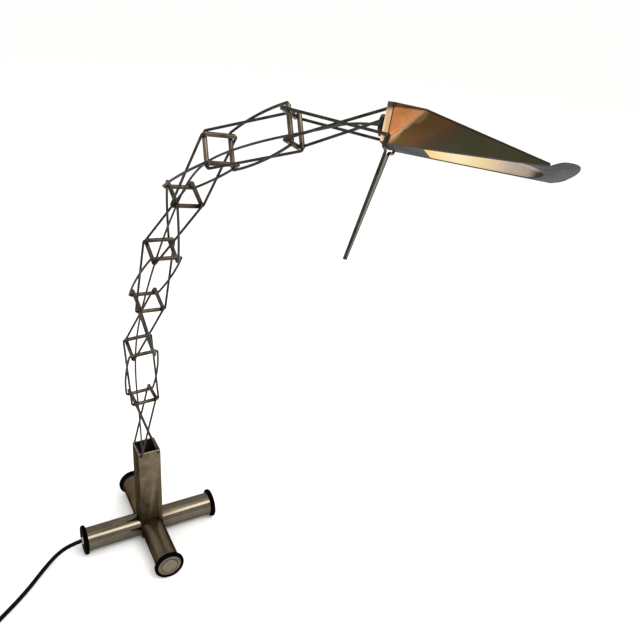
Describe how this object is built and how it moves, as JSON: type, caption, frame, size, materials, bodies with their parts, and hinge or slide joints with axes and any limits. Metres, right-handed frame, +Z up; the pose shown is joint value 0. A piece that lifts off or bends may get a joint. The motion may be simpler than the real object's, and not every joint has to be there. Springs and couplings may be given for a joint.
{
  "type": "desk lamp",
  "caption": "Desk lamp with a cross foot of round tubes, a square post, an arm of crossed wire links in soldered frames and a folded metal shade.",
  "frame": {"origin": "on the surface that the foot rings stand on, under the middle of the lamp's box at rest without its mains cord", "axes": "+Z up along the post; -Y along the foot tube with the push switch, -X along the foot tube that the cord leaves"},
  "size_m": [0.5531, 0.5382, 0.6715],
  "materials": {
    "foot_metal": "satin",
    "post_metal": "satin",
    "cap_metal": "satin",
    "wire_metal": "satin",
    "frame_metal": "satin",
    "shade_bronze": "satin",
    "plate_grey": "satin",
    "inner_sheet": "satin",
    "iron": "matte",
    "black_rubber": "matte",
    "cord_black": "matte",
    "black_plastic": "matte",
    "pale_plastic": "gloss",
    "block_plastic": "matte",
    "brass": "satin",
    "prong_steel": "polished",
    "lamp_glass": "gloss"
  },
  "bodies": {
    "base": {"post": "post_metal", "terminal_block": "block_plastic", "base_tube_right": "foot_metal", "base_tube_back": "foot_metal", "base_tube_left": "foot_metal", "base_tube_front": "foot_metal", "foot_rings": "black_rubber", "end_caps_plain": "cap_metal", "end_cap_cord": "cap_metal", "end_cap_switch": "cap_metal", "ballast_slugs": "iron", "switch_body": "black_plastic", "lead_post": "cord_black", "cord_gland": "pale_plastic", "cord_inside": "cord_black", "cord_run": "cord_black", "cord_coil": "cord_black", "cord_tail": "cord_black", "plug_body": "black_plastic", "plug_prongs": "prong_steel"},
    "link_a1": {"link_a1": "wire_metal", "lead_1": "cord_black"},
    "link_b1": {"link_b1": "wire_metal"},
    "frame_1": {"frame_1": "frame_metal"},
    "link_a2": {"link_a2": "wire_metal", "lead_2": "cord_black"},
    "link_b2": {"link_b2": "wire_metal"},
    "frame_2": {"frame_2": "frame_metal"},
    "link_a3": {"link_a3": "wire_metal", "lead_3": "cord_black"},
    "link_b3": {"link_b3": "wire_metal"},
    "frame_3": {"frame_3": "frame_metal"},
    "link_a4": {"link_a4": "wire_metal", "lead_4": "cord_black"},
    "link_b4": {"link_b4": "wire_metal"},
    "frame_4": {"frame_4": "frame_metal"},
    "link_a5": {"link_a5": "wire_metal", "lead_5": "cord_black"},
    "link_b5": {"link_b5": "wire_metal"},
    "frame_5": {"frame_5": "frame_metal"},
    "link_a6": {"link_a6": "wire_metal", "lead_6": "cord_black"},
    "link_b6": {"link_b6": "wire_metal"},
    "frame_6": {"frame_6": "frame_metal"},
    "link_a7": {"link_a7": "wire_metal", "lead_7": "cord_black"},
    "link_b7": {"link_b7": "wire_metal"},
    "frame_7": {"frame_7": "frame_metal"},
    "link_a8": {"link_a8": "wire_metal", "lead_8": "cord_black", "handle_grip": "wire_metal"},
    "link_b8": {"link_b8": "wire_metal"},
    "shade": {"shade_shell": "shade_bronze", "bottom_plate": "plate_grey", "holder_plate": "inner_sheet", "lamp_holder": "black_plastic", "lamp_base": "brass", "lamp_glass": "lamp_glass"},
    "button": {"switch_button": "cap_metal"}
  },
  "joints": [
    {"name": "bay_1_fold", "type": "hinge", "parent": "base", "child": "link_a1", "pos_m": [-0.08149, 0.17506, 0.149], "axis": [0, 1, 0], "range_deg": [-7, 7], "deforming": ["lead_1"]},
    {"name": "bay_1_tilt", "type": "hinge", "parent": "link_a1", "child": "frame_1", "pos_m": [-0.0588, 0.17506, 0.23878], "axis": [0, 1, 0], "range_deg": [-6.5, 6.5]},
    {"name": "bay_1_swing", "type": "hinge", "parent": "base", "child": "link_b1", "pos_m": [-0.05789, 0.17506, 0.149], "axis": [0, 1, 0], "range_deg": [-7.2, 7.2]},
    {"name": "bay_2_fold", "type": "hinge", "parent": "frame_1", "child": "link_a2", "pos_m": [-0.07177, 0.16186, 0.23374], "axis": [-0.9988, 0, -0.0488], "range_deg": [-7, 7], "deforming": ["lead_2"]},
    {"name": "bay_2_tilt", "type": "hinge", "parent": "link_a2", "child": "frame_2", "pos_m": [-0.07628, 0.16975, 0.32589], "axis": [-0.9988, 0, -0.0488], "range_deg": [-6.5, 6.5]},
    {"name": "bay_2_swing", "type": "hinge", "parent": "frame_1", "child": "link_b2", "pos_m": [-0.07177, 0.18826, 0.23374], "axis": [-0.9988, 0, -0.0488], "range_deg": [-6.5, 6.5]},
    {"name": "bay_3_fold", "type": "hinge", "parent": "frame_2", "child": "link_a3", "pos_m": [-0.08901, 0.15927, 0.31611], "axis": [-0.0188, 0.9226, 0.3852], "range_deg": [-7, 7], "deforming": ["lead_3"]},
    {"name": "bay_3_tilt", "type": "hinge", "parent": "link_a3", "child": "frame_3", "pos_m": [-0.06039, 0.12584, 0.39758], "axis": [-0.0188, 0.9226, 0.3852], "range_deg": [-7.6, 7.6]},
    {"name": "bay_3_swing", "type": "hinge", "parent": "frame_2", "child": "link_b3", "pos_m": [-0.06265, 0.15927, 0.3174], "axis": [-0.0188, 0.9226, 0.3852], "range_deg": [-7.6, 7.6]},
    {"name": "bay_4_fold", "type": "hinge", "parent": "frame_3", "child": "link_a4", "pos_m": [-0.07371, 0.11462, 0.38954], "axis": [-0.9951, -0.0546, 0.0821], "range_deg": [-7, 7], "deforming": ["lead_4"]},
    {"name": "bay_4_tilt", "type": "hinge", "parent": "link_a4", "child": "frame_4", "pos_m": [-0.06541, 0.10033, 0.48065], "axis": [-0.9951, -0.0546, 0.0821], "range_deg": [-7.1, 7.1]},
    {"name": "bay_4_swing", "type": "hinge", "parent": "frame_3", "child": "link_b4", "pos_m": [-0.0742, 0.13898, 0.39971], "axis": [-0.9951, -0.0546, 0.0821], "range_deg": [-7.1, 7.1]},
    {"name": "bay_5_fold", "type": "hinge", "parent": "frame_4", "child": "link_a5", "pos_m": [-0.07886, 0.09011, 0.47158], "axis": [-0.0088, 0.8785, 0.4777], "range_deg": [-7, 7], "deforming": ["lead_5"]},
    {"name": "bay_5_tilt", "type": "hinge", "parent": "link_a5", "child": "frame_5", "pos_m": [-0.04057, 0.05012, 0.54581], "axis": [-0.0088, 0.8785, 0.4777], "range_deg": [-7.5, 7.5]},
    {"name": "bay_5_swing", "type": "hinge", "parent": "frame_4", "child": "link_b5", "pos_m": [-0.05259, 0.09155, 0.46941], "axis": [-0.0088, 0.8785, 0.4777], "range_deg": [-7.5, 7.5]},
    {"name": "bay_6_fold", "type": "hinge", "parent": "frame_5", "child": "link_a6", "pos_m": [-0.05422, 0.03938, 0.53768], "axis": [-0.9844, -0.0915, 0.1501], "range_deg": [-7, 7], "deforming": ["lead_6"]},
    {"name": "bay_6_tilt", "type": "hinge", "parent": "link_a6", "child": "frame_6", "pos_m": [-0.03796, -0.00476, 0.61744], "axis": [-0.9844, -0.0915, 0.1501], "range_deg": [-6.2, 6.2]},
    {"name": "bay_6_swing", "type": "hinge", "parent": "frame_5", "child": "link_b6", "pos_m": [-0.05446, 0.06258, 0.55029], "axis": [-0.9844, -0.0915, 0.1501], "range_deg": [-6.2, 6.2]},
    {"name": "bay_7_fold", "type": "hinge", "parent": "frame_6", "child": "link_a7", "pos_m": [-0.05278, -0.00854, 0.60587], "axis": [0.0876, 0.4849, 0.8702], "range_deg": [-7, 7], "deforming": ["lead_7"]},
    {"name": "bay_7_tilt", "type": "hinge", "parent": "link_a7", "child": "frame_7", "pos_m": [0.00952, -0.07086, 0.63432], "axis": [0.0876, 0.4849, 0.8702], "range_deg": [-8.7, 8.7]},
    {"name": "bay_7_swing", "type": "hinge", "parent": "frame_6", "child": "link_b7", "pos_m": [-0.02679, -0.00613, 0.6019], "axis": [0.0876, 0.4849, 0.8702], "range_deg": [-8.7, 8.7]},
    {"name": "bay_8_fold", "type": "hinge", "parent": "frame_7", "child": "link_a8", "pos_m": [-0.00175, -0.06931, 0.64975], "axis": [-0.708, -0.5842, 0.3968], "range_deg": [-7, 7], "deforming": ["lead_8"]},
    {"name": "bay_8_tilt", "type": "hinge", "parent": "link_a8", "child": "shade", "pos_m": [0.05423, -0.14263, 0.64168], "axis": [-0.708, -0.5842, 0.3968], "range_deg": [-8.9, 8.9]},
    {"name": "bay_8_swing", "type": "hinge", "parent": "frame_7", "child": "link_b8", "pos_m": [-0.00406, -0.08211, 0.62678], "axis": [-0.708, -0.5842, 0.3968], "range_deg": [-8, 8]},
    {"name": "switch_press", "type": "slide", "parent": "base", "child": "button", "axis": [0, 1, 0], "range_m": [0, 0.002], "stiffness_N_per_m": 800, "springref_m": -0.0002}
  ],
  "couplings": [
    {"joint": "bay_1_tilt", "follows": "bay_1_fold", "ratio": 0.882},
    {"joint": "bay_1_swing", "follows": "bay_1_fold", "ratio": 0.9878},
    {"joint": "bay_2_tilt", "follows": "bay_2_fold", "ratio": 0.8904},
    {"joint": "bay_2_swing", "follows": "bay_2_fold", "ratio": 0.8904},
    {"joint": "bay_3_tilt", "follows": "bay_3_fold", "ratio": 1.0439},
    {"joint": "bay_3_swing", "follows": "bay_3_fold", "ratio": 1.0439},
    {"joint": "bay_4_tilt", "follows": "bay_4_fold", "ratio": 0.9707},
    {"joint": "bay_4_swing", "follows": "bay_4_fold", "ratio": 0.9707},
    {"joint": "bay_5_tilt", "follows": "bay_5_fold", "ratio": 1.0244},
    {"joint": "bay_5_swing", "follows": "bay_5_fold", "ratio": 1.0244},
    {"joint": "bay_6_tilt", "follows": "bay_6_fold", "ratio": 0.8464},
    {"joint": "bay_6_swing", "follows": "bay_6_fold", "ratio": 0.8464},
    {"joint": "bay_7_tilt", "follows": "bay_7_fold", "ratio": 1.2016},
    {"joint": "bay_7_swing", "follows": "bay_7_fold", "ratio": 1.2016},
    {"joint": "bay_8_tilt", "follows": "bay_8_fold", "ratio": 1.2284},
    {"joint": "bay_8_swing", "follows": "bay_8_fold", "ratio": 1.0997}
  ]
}
